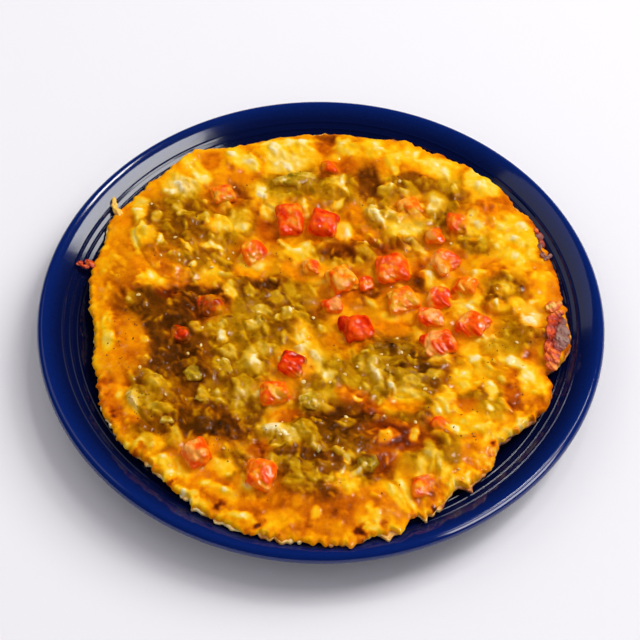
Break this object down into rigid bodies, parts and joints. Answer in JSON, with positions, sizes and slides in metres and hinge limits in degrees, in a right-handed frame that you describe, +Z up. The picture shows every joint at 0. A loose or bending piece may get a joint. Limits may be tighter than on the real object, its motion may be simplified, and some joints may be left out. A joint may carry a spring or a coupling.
{
  "type": "cheese crisp on plate",
  "caption": "Baked flour tortilla crisp under melted cheese, chopped green chile and diced tomato, served flat on a round blue glazed dinner plate.",
  "frame": {"origin": "middle of the plate's foot ring, on the surface that the plate stands on", "axes": "+Z up, +X to the right and +Y away from the viewer of the picture; the food's near side is towards -Y"},
  "size_m": [0.2666, 0.2666, 0.0296],
  "materials": {
    "plate": "gloss",
    "tortilla": "matte",
    "cheese": "satin",
    "chile_sauce": "satin",
    "tomato": "gloss",
    "chile": "gloss"
  },
  "bodies": {
    "root": {"plate": "plate", "tortilla": "tortilla", "cheese": "cheese", "chile_bed_01": "chile_sauce", "chile_bed_02": "chile_sauce", "chile_bed_03": "chile_sauce", "chile_bed_04": "chile_sauce", "chile_bed_05": "chile_sauce", "chile_bed_06": "chile_sauce", "chile_bed_07": "chile_sauce", "chile_bed_08": "chile_sauce", "chile_bed_09": "chile_sauce", "tomato_01": "tomato", "tomato_02": "tomato", "tomato_03": "tomato", "tomato_04": "tomato", "tomato_05": "tomato", "tomato_06": "tomato", "tomato_07": "tomato", "tomato_08": "tomato", "tomato_09": "tomato", "tomato_10": "tomato", "tomato_11": "tomato", "tomato_12": "tomato", "tomato_13": "tomato", "tomato_14": "tomato", "tomato_15": "tomato", "tomato_16": "tomato", "tomato_17": "tomato", "tomato_18": "tomato", "tomato_19": "tomato", "tomato_20": "tomato", "tomato_21": "tomato", "tomato_22": "tomato", "tomato_23": "tomato", "tomato_24": "tomato", "tomato_25": "tomato", "tomato_26": "tomato", "tomato_27": "tomato", "tomato_28": "tomato", "tomato_29": "tomato", "chile_01": "chile", "chile_02": "chile", "chile_03": "chile", "chile_04": "chile", "chile_05": "chile", "chile_06": "chile", "chile_07": "chile", "chile_08": "chile", "chile_09": "chile", "chile_10": "chile", "chile_11": "chile", "chile_12": "chile", "chile_13": "chile", "chile_14": "chile", "chile_15": "chile", "chile_16": "chile", "chile_17": "chile"}
  },
  "joints": []
}
